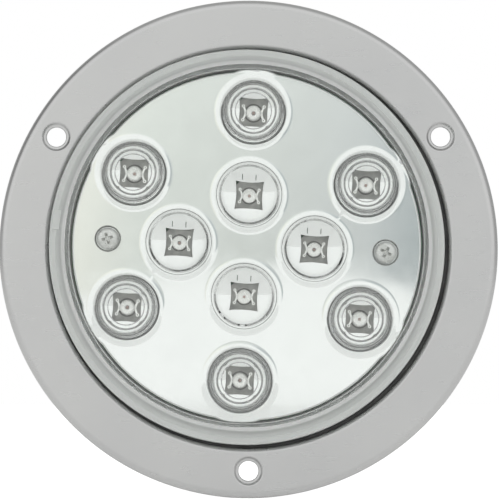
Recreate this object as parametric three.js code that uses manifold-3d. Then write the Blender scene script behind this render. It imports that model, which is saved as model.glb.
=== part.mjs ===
// A round clear-lens LED trailer tail light in a pressed stainless-steel flange.
// Lengths are millimetres. The pieces are drawn in the lamp's own frame: x to the right and y up as
// the lamp is looked at, z out of its front, and z = 0 at the panel that the flange is screwed to.
// The last group stands the lamp up, so that its front faces -Y and its top +Z.

import * as THREE from 'three';
import { mergeVertices } from 'three/addons/utils/BufferGeometryUtils.js';
import Module from 'manifold-3d';

const wasm = await Module();
wasm.setup();

// ---------------------------------------------------------------- driving dimensions

const gap = 0.3; // left between pieces that rest on each other
const slack = 0.35; // radial play of a hole round what passes through it
const overlap = 0.4; // how far a joined feature reaches into its parent
const pastFace = 1; // how far a cutter runs past the face that it opens

const roundSteps = 48; // facets round the large rings
const smallRoundSteps = 16; // facets round posts, pins and optics
const cupSteps = 20; // facets round the reflector's cups
const bendSteps = 3; // facets along a bend or a rounded edge

const sheet = { thickness: 0.9, bendRadius: 1.3 };

const lens = {
  skirtRadius: 55.2,
  wall: 2.3,
  ledgeWidth: 2.1,
  ledgeHeight: 4, // from the skirt's foot
  ledgeEdgeRadius: 0.8,
  draftWidth: 1.4,
  height: 10.3,
  frontEdgeRadius: 2.8,
  keyAngle: 175,
  keyWidth: 5.6,
  keyHeight: 2.2,
};

const seal = { width: 1.6, thickness: 0.5 };

const housing = {
  depth: 17, // behind the panel
  wall: 2.2,
  floor: 2.2,
  rimToScrew: 1, // from the rim's edge to a flange screw
  rimThickness: 1.2,
  collarHeight: 2, // of the wall above the rim
  backEdgeRadius: 3,
  ribCount: 6,
  ribThickness: 1.8,
  ribHeight: 2.4,
  padCount: 6,
  padWidth: 5,
  padReach: 2.6,
};

const retainingRing = { thickness: 0.8, play: 0.7 }; // play: round the housing
const gasket = { thickness: 0.8 };

const flange = {
  faceWidth: 13.8,
  openingGap: 0.85, // round the lens skirt
  rimBendRadius: 2.2,
  lipDepth: 1.7,
  holeCount: 3,
  firstHoleAngle: 30,
  holeInset: 6.15, // from the opening to the hole's centre
  holeRadius: 2.75,
  seatWidth: 0.9, // flat land round each hole, where the screw head sits
  dimpleWidth: 0.6, // slope round that land
  dimpleDepth: 0.7,
  clipWidth: 9,
  clipPlay: 1.1, // between the clips and the lamp's rim
  clipReach: 4,
};

const board = { thickness: 1.6, edgeGap: 0.8, underLens: 11.3 }; // underLens: lens face down to board face

const plate = {
  thickness: 1.5,
  edgeGap: 2.3, // to the lens wall
  aboveBoard: 6.6,
  cupRadius: 11.3,
  cupFloorThickness: 0.6,
  cupFloorRadius: 5.3,
  cupSkirt: 2.4, // how much wider the cup's outside is than its floor
  windowLap: 0.25, // of the plate over the edge of the LED's body
  lobeRadius: 12.3,
  bossWall: 2,
  screwRecess: 0.8,
};

const led = {
  side: 7.6,
  bodyHeight: 2.4,
  standoff: 0.6,
  domeRadius: 1.9,
  domeNeck: 0.4,
  cornerCut: 1.1,
  legPitch: 5.08,
  legWidth: 0.9,
  legThickness: 0.5,
  legLength: 3.2, // below the body
  holePlay: 0.3,
};

const ledPattern = {
  outerCount: 6,
  outerInset: 11.1, // from the plate's edge to the outer LEDs
  innerAcross: 18.8,
  innerUp: 14.1,
};

const optic = { radius: 10.4, depth: 1.2, centreRadius: 4.9, grooveDepth: 0.7, grooves: 2, innerRadius: 8.4 };

const screw = {
  headRadius: 3.05,
  headHeight: 1.8,
  shankRadius: 1.45,
  length: 15,
  edgeInset: 9.9, // from the plate's edge
  recessLength: 3.4,
  recessWidth: 0.8,
  recessDepth: 1,
};

const socket = {
  width: 25,
  height: 15,
  cornerRadius: 3.5,
  wall: 2.2,
  projection: 13, // behind the housing floor
  recessDepth: 11,
  keyWidth: 4,
  keyHeight: 1.4,
};

const pin = { radius: 1.2, pitch: 7.8, tipInset: 2, noseLength: 1.2, tailRadius: 0.6, tailAbove: 0.7 };

const potting = { margin: 3, thickness: 4 };

const resistor = { length: 6.4, width: 3.2, height: 1.3, count: 6, circleRadius: 27 };
const diode = { radius: 1.35, length: 5.2, across: 10.5, up: 8.2 };
const suppressor = { radius: 3.6, thickness: 2.4, across: -10.5, up: -9 };
const capacitor = { radius: 2.6, height: 6.5, across: 10.5, up: -9 };

// How the lamp sits in the flange, which leaves it some play: moved sideways and up, and turned
// clockwise as looked at.
const lampSeat = { across: -0.45, up: 0.3, turn: -2.9 };

// ---------------------------------------------------------------- levels and radii that follow

const clipTop = sheet.thickness;
const retainingRingBottom = clipTop + gap;
const rimBottom = retainingRingBottom + retainingRing.thickness + gap;
const rimTop = rimBottom + housing.rimThickness;
const gasketBottom = rimTop + gap;
const lipFoot = gasketBottom + gasket.thickness + gap;
const flangeHeight = lipFoot + flange.lipDepth;
const sealBottom = rimTop + gap;
const lensBottom = sealBottom + seal.thickness + gap;
const lensFront = lensBottom + lens.height;
const lensInnerFace = lensFront - lens.wall;
const boardTop = lensFront - board.underLens;
const boardBottom = boardTop - board.thickness;
const plateTop = boardTop + plate.aboveBoard;
const plateBottom = plateTop - plate.thickness;
const ledBottom = boardTop + led.standoff;
const cupFloorBottom = ledBottom + led.bodyHeight + gap;
const cupFloorTop = cupFloorBottom + plate.cupFloorThickness;
const floorBottom = -housing.depth;
const floorTop = floorBottom + housing.floor;

const housingRadius = lens.skirtRadius - lens.wall - gap;
const housingInnerRadius = housingRadius - housing.wall;
const lensWallRadius = lens.skirtRadius - lens.ledgeWidth;
const lensFrontRadius = lensWallRadius - lens.draftWidth;
const openingRadius = lens.skirtRadius + flange.openingGap;
const flangeRadius = openingRadius + flange.faceWidth;
const holeCircleRadius = openingRadius + flange.holeInset;
const rimRadius = holeCircleRadius - flange.holeRadius - housing.rimToScrew;
const boardRadius = housingInnerRadius - board.edgeGap;
const plateRadius = lensWallRadius - lens.wall - plate.edgeGap;
const screwOffset = plateRadius - screw.edgeInset;
const ledOuterCircle = plateRadius - ledPattern.outerInset;
const boreRadius = screw.shankRadius + slack;
const postRadius = boreRadius + housing.wall;

// ---------------------------------------------------------------- geometry helpers

const radians = THREE.MathUtils.degToRad;

/** The same surface with shared corners, no collapsed triangles and its faces pointing out. */
function closed(geometry) {
  const bare = geometry.clone();
  bare.deleteAttribute('normal');
  bare.deleteAttribute('uv');
  const merged = mergeVertices(bare, 1e-4);
  const corners = merged.index.array;
  const kept = [];
  for (let i = 0; i < corners.length; i += 3) {
    const [a, b, c] = [corners[i], corners[i + 1], corners[i + 2]];
    if (a !== b && b !== c && c !== a) kept.push(a, b, c);
  }
  if (signedVolume(merged, kept) < 0) kept.reverse();
  merged.setIndex(kept);
  return merged;
}

function signedVolume(geometry, corners) {
  const points = corners.map((i) => new THREE.Vector3().fromBufferAttribute(geometry.attributes.position, i));
  let sum = 0;
  for (let i = 0; i < points.length; i += 3) {
    sum += points[i].dot(points[i + 1].clone().cross(points[i + 2])) / 6;
  }
  return sum;
}

function solid(geometry) {
  const surface = closed(geometry);
  return new wasm.Manifold(new wasm.Mesh({
    numProp: 3,
    vertProperties: new Float32Array(surface.attributes.position.array),
    triVerts: new Uint32Array(surface.index.array),
  }));
}

function geometryOf(body) {
  const mesh = body.getMesh();
  const geometry = new THREE.BufferGeometry();
  geometry.setAttribute('position', new THREE.BufferAttribute(mesh.vertProperties, 3));
  geometry.setIndex(new THREE.BufferAttribute(mesh.triVerts, 1));
  return geometry;
}

const join = (base, parts) => parts.reduce((body, part) => body.add(part), base);
const cut = (base, tools) => tools.reduce((body, tool) => body.subtract(tool), base);

/** Turns a profile of [radius, height] points about the z axis. */
function turned(profile, steps = roundSteps) {
  const points = profile.map(([radius, height]) => new THREE.Vector2(radius, height));
  return new THREE.LatheGeometry(points, steps).rotateX(Math.PI / 2);
}

/** A profile ring closed on itself. */
const turnedRing = (profile, steps = roundSteps) => turned([...profile, profile[0]], steps);

/** Points along a quarter bend about [x, y], from one angle to another in degrees. */
function bend(x, y, radius, from, to) {
  return Array.from({ length: bendSteps + 1 }, (_, step) => {
    const angle = radians(from + (to - from) * step / bendSteps);
    return [x + radius * Math.cos(angle), y + radius * Math.sin(angle)];
  });
}

/** A round bar along z between two heights. */
function bar(x, y, radius, bottom, top, steps = smallRoundSteps) {
  const profile = [[0, bottom], [radius, bottom], [radius, top], [0, top]];
  return turned(profile, steps).translate(x, y, 0);
}

function block(width, depth, bottom, top, x = 0, y = 0) {
  return new THREE.BoxGeometry(width, depth, top - bottom).translate(x, y, (top + bottom) / 2);
}

/** A flat outline drawn up between two heights. */
function slab(shape, bottom, top) {
  const options = { depth: top - bottom, bevelEnabled: false, curveSegments: bendSteps };
  return new THREE.ExtrudeGeometry(shape, options).translate(0, 0, bottom);
}

function roundedOutline(width, height, radius) {
  const [x, y] = [width / 2 - radius, height / 2 - radius];
  const outline = new THREE.Shape();
  outline.absarc(x, y, radius, 0, Math.PI / 2);
  outline.absarc(-x, y, radius, Math.PI / 2, Math.PI);
  outline.absarc(-x, -y, radius, Math.PI, Math.PI * 1.5);
  outline.absarc(x, -y, radius, Math.PI * 1.5, Math.PI * 2);
  return outline;
}

/** The angles of things spread evenly round a circle, in degrees. */
const spread = (count, first = 0) => Array.from({ length: count }, (_, i) => first + 360 * i / count);

function onCircle(radius, degrees) {
  const angle = radians(degrees);
  return [radius * Math.cos(angle), radius * Math.sin(angle)];
}

// ---------------------------------------------------------------- places

const outerLeds = spread(ledPattern.outerCount, 90).map((angle) => onCircle(ledOuterCircle, angle));
const innerLeds = [
  [0, ledPattern.innerUp],
  [-ledPattern.innerAcross, 0],
  [0, -ledPattern.innerUp],
  [ledPattern.innerAcross, 0],
];
const ledPlaces = [...outerLeds, ...innerLeds];
const screwPlaces = [-screwOffset, screwOffset];
const pinPlaces = [-pin.pitch, 0, pin.pitch];

const legPlaces = ([x, y]) => [[-1, -1], [1, -1], [1, 1], [-1, 1]].map(
  ([i, j]) => [x + i * led.legPitch / 2, y + j * led.legPitch / 2],
);

// ---------------------------------------------------------------- flange

function makeFlangeRing() {
  const { thickness, bendRadius } = sheet;
  const { rimBendRadius } = flange;
  const [rimBend, rimBendLevel] = [flangeRadius - rimBendRadius, flangeHeight - rimBendRadius];
  const [lipBend, lipBendLevel] = [openingRadius + bendRadius, flangeHeight - bendRadius];
  const ring = solid(turnedRing([
    [flangeRadius, 0],
    ...bend(rimBend, rimBendLevel, rimBendRadius, 0, 90),
    ...bend(lipBend, lipBendLevel, bendRadius, 90, 180),
    [openingRadius, lipFoot],
    [openingRadius + thickness, lipFoot],
    ...bend(lipBend, lipBendLevel, bendRadius - thickness, 180, 90),
    ...bend(rimBend, rimBendLevel, rimBendRadius - thickness, 90, 0),
    [flangeRadius - thickness, 0],
  ]));
  const holes = spread(flange.holeCount, flange.firstHoleAngle);
  const dished = holes.reduce((body, angle) => dishHole(body, onCircle(holeCircleRadius, angle)), ring);
  const firstClipAngle = flange.firstHoleAngle + 180 / flange.holeCount;
  return geometryOf(join(dished, spread(flange.holeCount, firstClipAngle).map(makeClip)));
}

/** Presses a shallow dish into the sheet at a screw hole and pierces it. */
function dishHole(body, [x, y]) {
  const landRadius = flange.holeRadius + flange.seatWidth;
  const dishRadius = landRadius + flange.dimpleWidth;
  const [top, bottom] = [flangeHeight, flangeHeight - sheet.thickness];
  const opening = solid(bar(x, y, dishRadius, bottom - pastFace, top + pastFace));
  const dish = solid(turnedRing([
    [flange.holeRadius, top - flange.dimpleDepth],
    [landRadius, top - flange.dimpleDepth],
    [dishRadius, top],
    [dishRadius + overlap, top],
    [dishRadius + overlap, bottom],
    [landRadius + overlap, bottom - flange.dimpleDepth],
    [flange.holeRadius, bottom - flange.dimpleDepth],
  ], smallRoundSteps).translate(x, y, 0));
  return body.subtract(opening).add(dish);
}

/** A clip bent under the retaining ring, which holds the lamp in the flange. */
function makeClip(angle) {
  const innerFace = rimRadius + flange.clipPlay;
  const leg = block(
    sheet.thickness, flange.clipWidth, 0, flangeHeight - sheet.thickness + overlap,
    innerFace + sheet.thickness / 2,
  );
  const foot = block(
    flange.clipReach + overlap, flange.clipWidth, 0, clipTop,
    innerFace + overlap - (flange.clipReach + overlap) / 2,
  );
  const turn = radians(angle);
  return solid(leg.rotateZ(turn)).add(solid(foot.rotateZ(turn)));
}

function makeFlangeGasket() {
  return makeFlatRing(lens.skirtRadius + gap, rimRadius, gasketBottom, gasket.thickness);
}

function makeRetainingRing() {
  const inner = housingRadius + retainingRing.play;
  return makeFlatRing(inner, rimRadius, retainingRingBottom, retainingRing.thickness);
}

function makeFlatRing(inner, outer, bottom, thickness) {
  const top = bottom + thickness;
  return turnedRing([[inner, bottom], [outer, bottom], [outer, top], [inner, top]]);
}

// ---------------------------------------------------------------- lens

function makeLens() {
  const { skirtRadius, wall, ledgeEdgeRadius, frontEdgeRadius } = lens;
  const ledge = lensBottom + lens.ledgeHeight;
  const fillet = bend(lensFrontRadius - frontEdgeRadius, lensFront - frontEdgeRadius, frontEdgeRadius, 0, 90);
  const shell = solid(turned([
    [0, lensInnerFace],
    [lensFrontRadius - frontEdgeRadius, lensInnerFace],
    [lensFrontRadius - wall, lensFront - frontEdgeRadius],
    [lensWallRadius - wall, ledge],
    [skirtRadius - wall, ledge - wall],
    [skirtRadius - wall, lensBottom],
    [skirtRadius, lensBottom],
    ...bend(skirtRadius - ledgeEdgeRadius, ledge - ledgeEdgeRadius, ledgeEdgeRadius, 0, 90),
    [lensWallRadius, ledge],
    ...fillet,
    [0, lensFront],
  ]));
  const optics = [...outerLeds.map(makeGroovedOptic), ...innerLeds.map(makeDomedOptic)];
  return geometryOf(join(shell, [...optics, makeLensKey()]));
}

/** A ringed optic on the back of the lens: a central disc inside stepped grooves. */
function makeGroovedOptic([x, y]) {
  const root = lensInnerFace + overlap;
  const deep = lensInnerFace - optic.depth;
  const shallow = deep + optic.grooveDepth;
  const pitch = (optic.radius - optic.centreRadius) / optic.grooves;
  const teeth = Array.from({ length: optic.grooves }, (_, i) => optic.centreRadius + pitch * i);
  const profile = [[0, deep], ...teeth.flatMap((radius) => [[radius, deep], [radius, shallow]])];
  const shape = [...profile, [optic.radius, deep], [optic.radius, root], [0, root]];
  return solid(turned(shape, smallRoundSteps).translate(x, y, 0));
}

/** A plain optic on the back of the lens, with a low dome. */
function makeDomedOptic([x, y]) {
  const root = lensInnerFace + overlap;
  const edge = lensInnerFace - optic.depth / 2;
  const profile = [
    [0, lensInnerFace - optic.depth],
    [optic.innerRadius / 2, lensInnerFace - optic.depth * 7 / 8],
    [optic.innerRadius, edge],
    [optic.innerRadius, root],
    [0, root],
  ];
  return solid(turned(profile, smallRoundSteps).translate(x, y, 0));
}

/** The block on the lens ledge that shows which way round the lamp goes. */
function makeLensKey() {
  const ledge = lensBottom + lens.ledgeHeight;
  const reach = lens.ledgeWidth - lens.ledgeEdgeRadius + overlap;
  const key = block(
    reach + overlap, lens.keyWidth, ledge - overlap, ledge + lens.keyHeight,
    lensWallRadius - overlap + (reach - overlap) / 2,
  );
  return solid(key.rotateZ(radians(lens.keyAngle)));
}

function makeLensSeal() {
  const middle = lens.skirtRadius - lens.wall / 2;
  return makeFlatRing(middle - seal.width / 2, middle + seal.width / 2, sealBottom, seal.thickness);
}

// ---------------------------------------------------------------- housing

function makeHousing() {
  const { backEdgeRadius } = housing;
  const collarTop = rimTop + housing.collarHeight;
  const shell = solid(turned([
    [0, floorTop],
    [housingInnerRadius, floorTop],
    [housingInnerRadius, collarTop],
    [housingRadius, collarTop],
    [housingRadius, rimTop],
    [rimRadius, rimTop],
    [rimRadius, rimBottom],
    [housingRadius, rimBottom],
    ...bend(housingRadius - backEdgeRadius, floorBottom + backEdgeRadius, backEdgeRadius, 0, -90),
    [0, floorBottom],
  ]));
  const posts = screwPlaces.map((x) => solid(bar(x, 0, postRadius, floorTop - overlap, boardBottom - gap)));
  const bores = screwPlaces.map((x) => solid(bar(x, 0, boreRadius, floorTop + overlap, boardBottom)));
  const pinHoles = pinPlaces.map(
    (x) => solid(bar(x, 0, pin.radius + slack, floorBottom - socket.projection, floorTop + pastFace)),
  );
  const solids = [...posts, ...makeBoardPads(), ...makeBackRibs(), makeSocketBoss()];
  return geometryOf(cut(join(shell, solids), [makeSocketRecess(), ...bores, ...pinHoles]));
}

/** Pads inside the wall that carry the board's edge. */
function makeBoardPads() {
  const reach = housing.padReach + overlap;
  return spread(housing.padCount, 180 / housing.padCount).map((angle) => {
    const pad = block(
      reach, housing.padWidth, floorTop - overlap, boardBottom - gap,
      housingInnerRadius + overlap - reach / 2,
    );
    return solid(pad.rotateZ(radians(angle)));
  });
}

/** Stiffening ribs across the back, from the socket to the rounded edge. */
function makeBackRibs() {
  const inner = socket.height / 2;
  const length = housingRadius - housing.backEdgeRadius - inner;
  return spread(housing.ribCount, 180 / housing.ribCount).map((angle) => {
    const rib = block(
      length, housing.ribThickness, floorBottom - housing.ribHeight, floorBottom + overlap,
      inner + length / 2,
    );
    return solid(rib.rotateZ(radians(angle)));
  });
}

function makeSocketBoss() {
  const outline = roundedOutline(
    socket.width + 2 * socket.wall, socket.height + 2 * socket.wall, socket.cornerRadius + socket.wall,
  );
  return solid(slab(outline, floorBottom - socket.projection, floorBottom + overlap));
}

/** The hollow that the vehicle's plug goes into, with the plug's key left standing in it. */
function makeSocketRecess() {
  const bottom = floorBottom - socket.projection;
  const top = bottom + socket.recessDepth;
  const outline = roundedOutline(socket.width, socket.height, socket.cornerRadius);
  const recess = slab(outline, bottom - pastFace, top);
  const keyMiddle = (socket.height - socket.keyHeight + overlap) / 2;
  const key = block(
    socket.keyWidth, socket.keyHeight + overlap, bottom - 2 * pastFace, top + pastFace, 0, keyMiddle,
  );
  return solid(recess).subtract(solid(key));
}

function makePottingCompound() {
  const bottom = floorTop + gap;
  const top = bottom + potting.thickness;
  const reach = pin.radius + potting.margin;
  const pad = solid(slab(roundedOutline(2 * (pin.pitch + reach), 2 * reach, potting.margin), bottom, top));
  const pinHoles = pinPlaces.map(
    (x) => solid(bar(x, 0, pin.radius + slack, bottom - pastFace, top + pastFace)),
  );
  return geometryOf(cut(pad, pinHoles));
}

function makePin(x) {
  const tip = floorBottom - socket.projection + pin.tipInset;
  const shoulder = boardBottom - gap;
  const nose = pin.radius - pin.noseLength / 2;
  return turned([
    [0, tip],
    [nose, tip],
    [pin.radius, tip + pin.noseLength],
    [pin.radius, shoulder],
    [pin.tailRadius, shoulder],
    [pin.tailRadius, boardTop + pin.tailAbove],
    [0, boardTop + pin.tailAbove],
  ], smallRoundSteps).translate(x, 0, 0);
}

// ---------------------------------------------------------------- board and what is on it

function makeCircuitBoard() {
  const [below, above] = [boardBottom - pastFace, boardTop + pastFace];
  const [holeWidth, holeDepth] = [led.legWidth + 2 * led.holePlay, led.legThickness + 2 * led.holePlay];
  const disc = solid(bar(0, 0, boardRadius, boardBottom, boardTop, roundSteps));
  const legHoles = ledPlaces.flatMap(legPlaces).map(
    ([x, y]) => solid(block(holeWidth, holeDepth, below, above, x, y)),
  );
  const screwHoles = screwPlaces.map((x) => solid(bar(x, 0, boreRadius, below, above)));
  const pinHoles = pinPlaces.map((x) => solid(bar(x, 0, pin.tailRadius + slack, below, above)));
  return geometryOf(cut(disc, [...legHoles, ...screwHoles, ...pinHoles]));
}

/** A four-legged square LED with one corner cut off and a round dome. */
function makeLed() {
  const [half, cornerCut] = [led.side / 2, led.cornerCut];
  const outline = new THREE.Shape([
    new THREE.Vector2(-half, -half),
    new THREE.Vector2(half, -half),
    new THREE.Vector2(half, half),
    new THREE.Vector2(-half + cornerCut, half),
    new THREE.Vector2(-half, half - cornerCut),
  ]);
  const bodyTop = ledBottom + led.bodyHeight;
  const domeLevel = bodyTop + led.domeNeck;
  const body = solid(slab(outline, ledBottom, bodyTop));
  const dome = solid(turned([
    [0, bodyTop - overlap],
    [led.domeRadius, bodyTop - overlap],
    ...bend(0, domeLevel, led.domeRadius, 0, 90),
  ], smallRoundSteps));
  const legs = legPlaces([0, 0]).map(([x, y]) => solid(
    block(led.legWidth, led.legThickness, ledBottom - led.legLength, ledBottom + overlap, x, y),
  ));
  return geometryOf(join(body, [dome, ...legs]));
}

const partsTop = boardBottom - gap;

function makeResistor() {
  return block(resistor.length, resistor.width, partsTop - resistor.height, partsTop);
}

function makeDiode() {
  const body = new THREE.CylinderGeometry(diode.radius, diode.radius, diode.length, smallRoundSteps);
  return body.translate(0, 0, partsTop - diode.radius);
}

function makeSuppressor() {
  return bar(0, 0, suppressor.radius, partsTop - suppressor.thickness, partsTop);
}

function makeCapacitor() {
  return bar(0, 0, capacitor.radius, partsTop - capacitor.height, partsTop);
}

// ---------------------------------------------------------------- reflector

function makeReflectorPlate() {
  const disc = solid(bar(0, 0, plateRadius, plateBottom, plateTop, roundSteps));
  const lobes = outerLeds.map(
    ([x, y]) => solid(bar(x, y, plate.lobeRadius, plateBottom, plateTop, cupSteps)),
  );
  const bossRadius = boreRadius + plate.bossWall;
  const bosses = screwPlaces.map((x) => solid(bar(x, 0, bossRadius, boardTop + gap, plateTop - overlap)));
  const body = join(disc, [...lobes, ...ledPlaces.map(makeCup), ...bosses]);
  return geometryOf(cut(body, [...ledPlaces.map(makeCupHollow), ...screwPlaces.map(makeScrewSeat)]));
}

/** The outside of the cup round an LED, from its floor up into the plate. */
function makeCup([x, y]) {
  const [bottom, top] = [cupFloorBottom, plateBottom + overlap];
  const floorRadius = plate.cupFloorRadius + plate.cupSkirt;
  const profile = [[0, bottom], [floorRadius, bottom], [plate.cupRadius, top], [0, top]];
  return solid(turned(profile, cupSteps).translate(x, y, 0));
}

/** The inside of the cup, with the square window that the LED looks through. */
function makeCupHollow([x, y]) {
  const cone = solid(turned([
    [0, cupFloorTop],
    [plate.cupFloorRadius, cupFloorTop],
    [plate.cupRadius, plateTop],
    [plate.cupRadius, plateTop + pastFace],
    [0, plateTop + pastFace],
  ], cupSteps).translate(x, y, 0));
  const window = led.side - 2 * plate.windowLap;
  return cone.add(solid(block(window, window, cupFloorBottom - pastFace, plateTop, x, y)));
}

/** The stepped hole that a reflector screw sits in. */
function makeScrewSeat(x) {
  const recessRadius = screw.headRadius + 2 * slack;
  const recess = solid(bar(x, 0, recessRadius, plateTop - plate.screwRecess, plateTop + pastFace));
  return recess.add(solid(bar(x, 0, boreRadius, boardTop - pastFace, plateTop)));
}

function makeReflectorScrew() {
  const seat = plateTop - plate.screwRecess + gap;
  const headTop = seat + screw.headHeight;
  const headEdge = screw.headHeight / 2;
  const body = solid(turned([
    [0, seat - screw.length],
    [screw.shankRadius, seat - screw.length + screw.shankRadius],
    [screw.shankRadius, seat],
    [screw.headRadius, seat],
    [screw.headRadius, seat + headEdge],
    [screw.headRadius - headEdge, headTop],
    [0, headTop],
  ], smallRoundSteps));
  const slots = [[screw.recessLength, screw.recessWidth], [screw.recessWidth, screw.recessLength]];
  const recess = slots.map(([width, depth]) => solid(
    block(width, depth, headTop - screw.recessDepth, headTop + pastFace),
  ));
  return geometryOf(cut(body, recess));
}

// ---------------------------------------------------------------- materials

const finishes = {
  stainless: { color: 0xc5c5c5, roughness: 0.32, metalness: 1 },
  zincPlate: { color: 0xb4b6b8, roughness: 0.4, metalness: 1 },
  rubber: { color: 0x1c1c1c, roughness: 0.85, metalness: 0 },
  clearPlastic: { color: 0xeef0ee, roughness: 0.05, metalness: 0 },
  sealant: { color: 0xd6d7d3, roughness: 0.6, metalness: 0 },
  greyPlastic: { color: 0xa3a5a4, roughness: 0.5, metalness: 0 },
  mirrorPlate: { color: 0xe6e8e6, roughness: 0.08, metalness: 1 },
  boardGreen: { color: 0x1f5a35, roughness: 0.45, metalness: 0 },
  ledEpoxy: { color: 0xb9b7b2, roughness: 0.15, metalness: 0 },
  brass: { color: 0xc2a15a, roughness: 0.3, metalness: 1 },
  potting: { color: 0x141414, roughness: 0.3, metalness: 0 },
  resistorBlack: { color: 0x18191b, roughness: 0.5, metalness: 0 },
  ceramicBlue: { color: 0x2b4f86, roughness: 0.4, metalness: 0 },
  canAluminium: { color: 0xc9cbcd, roughness: 0.3, metalness: 1 },
};

function piece(name, geometry, finish) {
  const mesh = new THREE.Mesh(geometry, new THREE.MeshStandardMaterial(finishes[finish]));
  mesh.name = name;
  return mesh;
}

function placed(mesh, x, y, degrees = 0) {
  mesh.position.set(x, y, 0);
  mesh.rotation.z = radians(degrees);
  return mesh;
}

// ---------------------------------------------------------------- assembly

function addBoardParts(lamp) {
  ledPlaces.forEach(([x, y], i) => {
    const name = `led_${String(i + 1).padStart(2, '0')}`;
    lamp.add(placed(piece(name, makeLed(), 'ledEpoxy'), x, y));
  });
  spread(resistor.count).forEach((angle, i) => {
    const [x, y] = onCircle(resistor.circleRadius, angle);
    lamp.add(placed(piece(`resistor_${i + 1}`, makeResistor(), 'resistorBlack'), x, y, angle + 90));
  });
  lamp.add(
    placed(piece('diode_tail', makeDiode(), 'resistorBlack'), -diode.across, diode.up),
    placed(piece('diode_stop', makeDiode(), 'resistorBlack'), diode.across, diode.up),
    placed(piece('surge_suppressor', makeSuppressor(), 'ceramicBlue'), suppressor.across, suppressor.up),
    placed(piece('capacitor', makeCapacitor(), 'canAluminium'), capacitor.across, capacitor.up),
  );
}

function makeLampAssembly() {
  const lamp = new THREE.Group();
  lamp.position.set(lampSeat.across, lampSeat.up, 0);
  lamp.rotation.z = radians(lampSeat.turn);
  lamp.add(
    piece('flange_gasket', makeFlangeGasket(), 'rubber'),
    piece('retaining_ring', makeRetainingRing(), 'zincPlate'),
    piece('lens', makeLens(), 'clearPlastic'),
    piece('lens_seal', makeLensSeal(), 'sealant'),
    piece('housing', makeHousing(), 'greyPlastic'),
    piece('reflector_plate', makeReflectorPlate(), 'mirrorPlate'),
    piece('circuit_board', makeCircuitBoard(), 'boardGreen'),
    piece('potting_compound', makePottingCompound(), 'potting'),
  );
  addBoardParts(lamp);
  ['left', 'right'].forEach((side, i) => {
    lamp.add(placed(piece(`reflector_screw_${side}`, makeReflectorScrew(), 'zincPlate'), screwPlaces[i], 0));
  });
  ['pin_tail', 'pin_ground', 'pin_stop'].forEach((name, i) => {
    lamp.add(piece(name, makePin(pinPlaces[i]), 'brass'));
  });
  return lamp;
}

const tailLight = new THREE.Group();
tailLight.add(piece('flange_ring', makeFlangeRing(), 'stainless'), makeLampAssembly());
tailLight.rotation.x = Math.PI / 2;

export default tailLight;
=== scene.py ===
"""The looks of a round clear-lens LED trailer tail light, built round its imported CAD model.

The detailed pieces are drawn in millimetres in the lamp's own frame: x to the right and y up as the
lamp is looked at, z out of its front. A matrix then sets each one in the CAD model's frame.
"""

import math

import bmesh
import bpy
from mathutils import Matrix, Vector


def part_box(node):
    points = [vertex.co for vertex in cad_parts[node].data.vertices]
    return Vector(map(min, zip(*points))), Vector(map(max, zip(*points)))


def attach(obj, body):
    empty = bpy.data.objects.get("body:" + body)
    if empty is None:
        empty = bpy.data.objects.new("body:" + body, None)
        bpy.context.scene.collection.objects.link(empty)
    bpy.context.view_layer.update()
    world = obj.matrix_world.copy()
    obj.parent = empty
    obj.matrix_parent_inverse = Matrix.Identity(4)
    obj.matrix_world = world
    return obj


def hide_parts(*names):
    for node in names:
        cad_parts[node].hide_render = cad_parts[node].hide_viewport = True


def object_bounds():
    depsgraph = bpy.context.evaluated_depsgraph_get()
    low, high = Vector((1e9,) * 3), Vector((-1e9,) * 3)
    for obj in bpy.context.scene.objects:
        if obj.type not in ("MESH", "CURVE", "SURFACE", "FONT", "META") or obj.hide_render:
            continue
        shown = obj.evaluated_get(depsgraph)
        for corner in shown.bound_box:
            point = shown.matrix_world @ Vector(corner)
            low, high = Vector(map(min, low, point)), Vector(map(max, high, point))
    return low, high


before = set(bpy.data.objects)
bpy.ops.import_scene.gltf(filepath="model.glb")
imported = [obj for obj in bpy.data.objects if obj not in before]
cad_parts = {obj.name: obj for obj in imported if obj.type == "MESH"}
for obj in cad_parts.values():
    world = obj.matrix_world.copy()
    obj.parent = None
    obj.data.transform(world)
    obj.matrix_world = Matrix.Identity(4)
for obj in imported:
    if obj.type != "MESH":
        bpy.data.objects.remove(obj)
cad_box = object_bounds()

MM = 0.001

# ---------------------------------------------------------------- sizes, in millimetres

FINE_STEPS = 288  # facets round the large rings
CUP_STEPS = 96  # facets round cups, optics and flange holes
SMALL_STEPS = 48  # facets round domes, screws and pins
ARC_STEPS = 8  # facets along a rounded edge

FLANGE = {
    "radius": 69.85,
    "opening": 56.05,
    "sheet": 0.9,
    "lip_bend": 1.3,
    "rim_bend": 2.2,
    "hole_circle": 62.2,
    "hole_angles": (30, 150, 270),
    "hole_radius": 2.75,
    "land_radius": 3.2,
    "dish_radius": 4.25,
    "dish_depth": 0.7,
    "clip_angles": (90, 210, 330),
    "clip_width": 9,
    "clip_face": 59.55,
    "clip_reach": 4,
    "lip_depth": 1.7,
}

LENS = {
    "skirt_radius": 55.2,
    "wall": 2.3,
    "wall_radius": 53.1,
    "front_radius": 51.7,
    "ledge_height": 4,
    "ledge_edge": 0.8,
    "front_edge": 2.8,
    # Radii of the band on the front's rounded edge that carries the painted highlight.
    "painted_highlight_band": (50.15, 51.1),
    "inner_edge": 0.9,
    "key_angle": 175,
    "key_width": 5.6,
    "key_height": 2.2,
    "key_reach": 1.3,
}

GROOVED_OPTIC = {
    "depth": 1.2,
    "centre_radius": 4.9,
    "centre_sag": 0.55,
    "bead_radii": (6.2, 7.5),
    "bead_sag": 0.4,
    # Half the width of the grey painted shade at each groove's bottom.
    "groove_half_width": 0.2,
    "shoulder_radius": 7.75,
    "radius": 8.5,
}
DOMED_OPTIC = {
    "depth": 1.2,
    "sag": 0.4,
    "shoulder_radius": 7.75,
    "radius": 8.3,
    "step_radius": 9.0,
    "step_depth": 0.3,
}

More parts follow.
